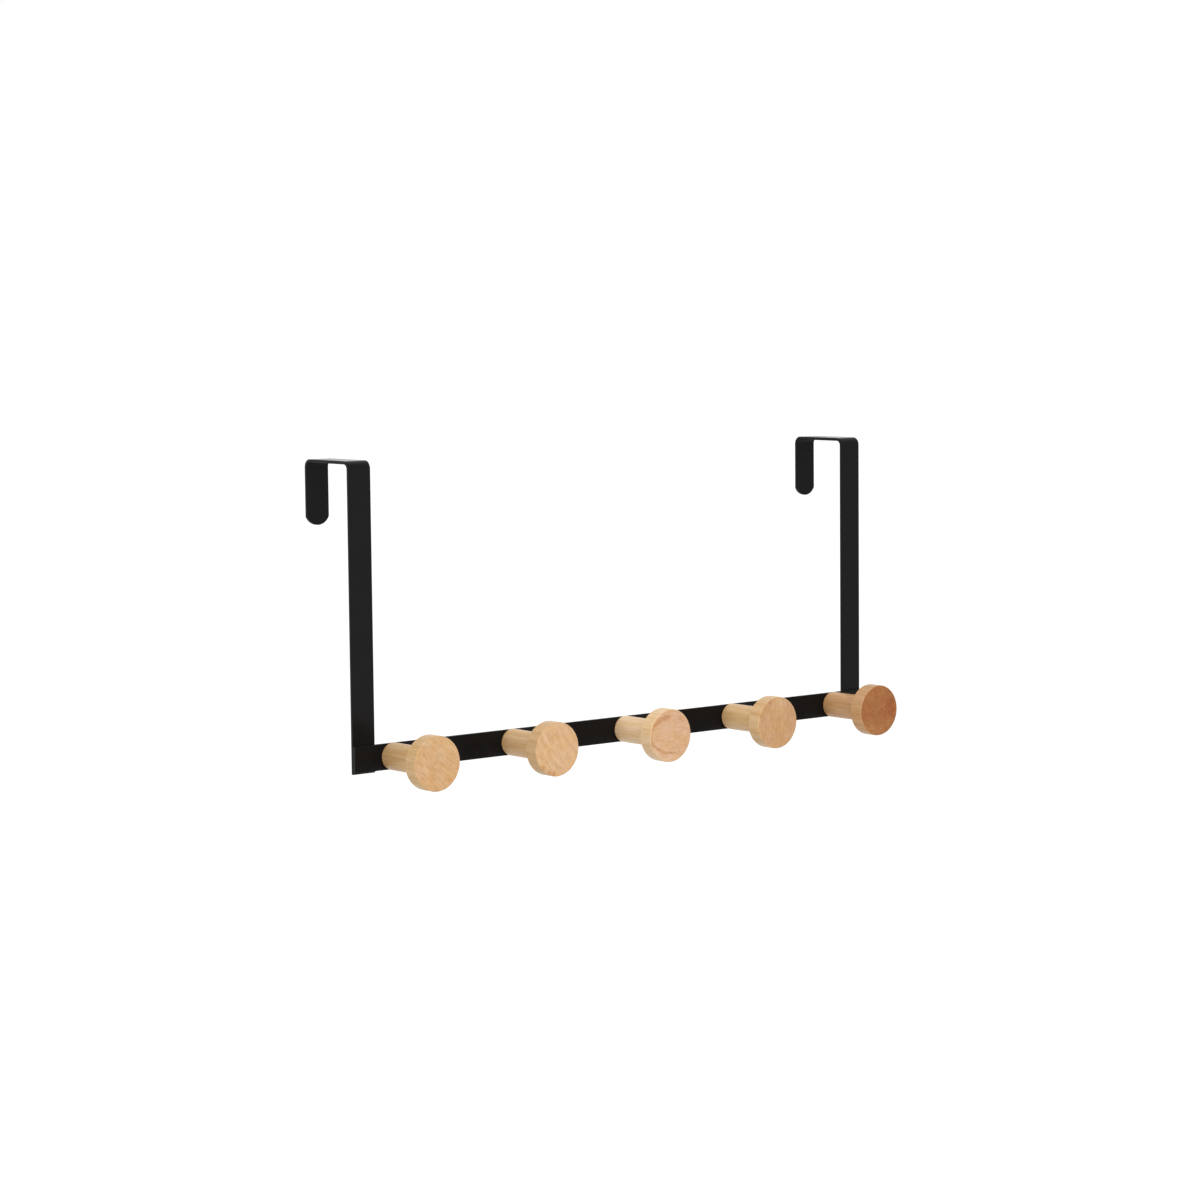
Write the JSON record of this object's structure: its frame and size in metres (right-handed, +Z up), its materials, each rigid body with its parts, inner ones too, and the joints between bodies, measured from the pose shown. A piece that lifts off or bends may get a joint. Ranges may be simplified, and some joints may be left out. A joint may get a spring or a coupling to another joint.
{
  "type": "over-door hook rack",
  "caption": "Over-door rack: flat steel bar on bent strip hangers that hook over a door, with turned wooden pegs for coats.",
  "frame": {"origin": "on the door's front top edge, midway between the hangers: the plane y = 0 is the door's front face and z = 0 its top edge", "axes": "+X along the bar to the right as seen from the front, +Y back over the door, +Z up"},
  "size_m": [0.415, 0.0933, 0.1941],
  "materials": {
    "powder_coat": "satin black powder coat with a fine texture",
    "peg_wood": "turned pale hardwood, clear matt finish, end grain on the heads",
    "screw_steel": "bright zinc plate"
  },
  "bodies": {
    "root": {"cross_bar": "powder_coat", "left_hanger": "powder_coat", "right_hanger": "powder_coat", "left_weld": "powder_coat", "right_weld": "powder_coat", "peg_1": "peg_wood", "peg_2": "peg_wood", "peg_3": "peg_wood", "peg_4": "peg_wood", "peg_5": "peg_wood", "peg_screw_1": "screw_steel", "peg_screw_2": "screw_steel", "peg_screw_3": "screw_steel", "peg_screw_4": "screw_steel", "peg_screw_5": "screw_steel"}
  },
  "joints": []
}
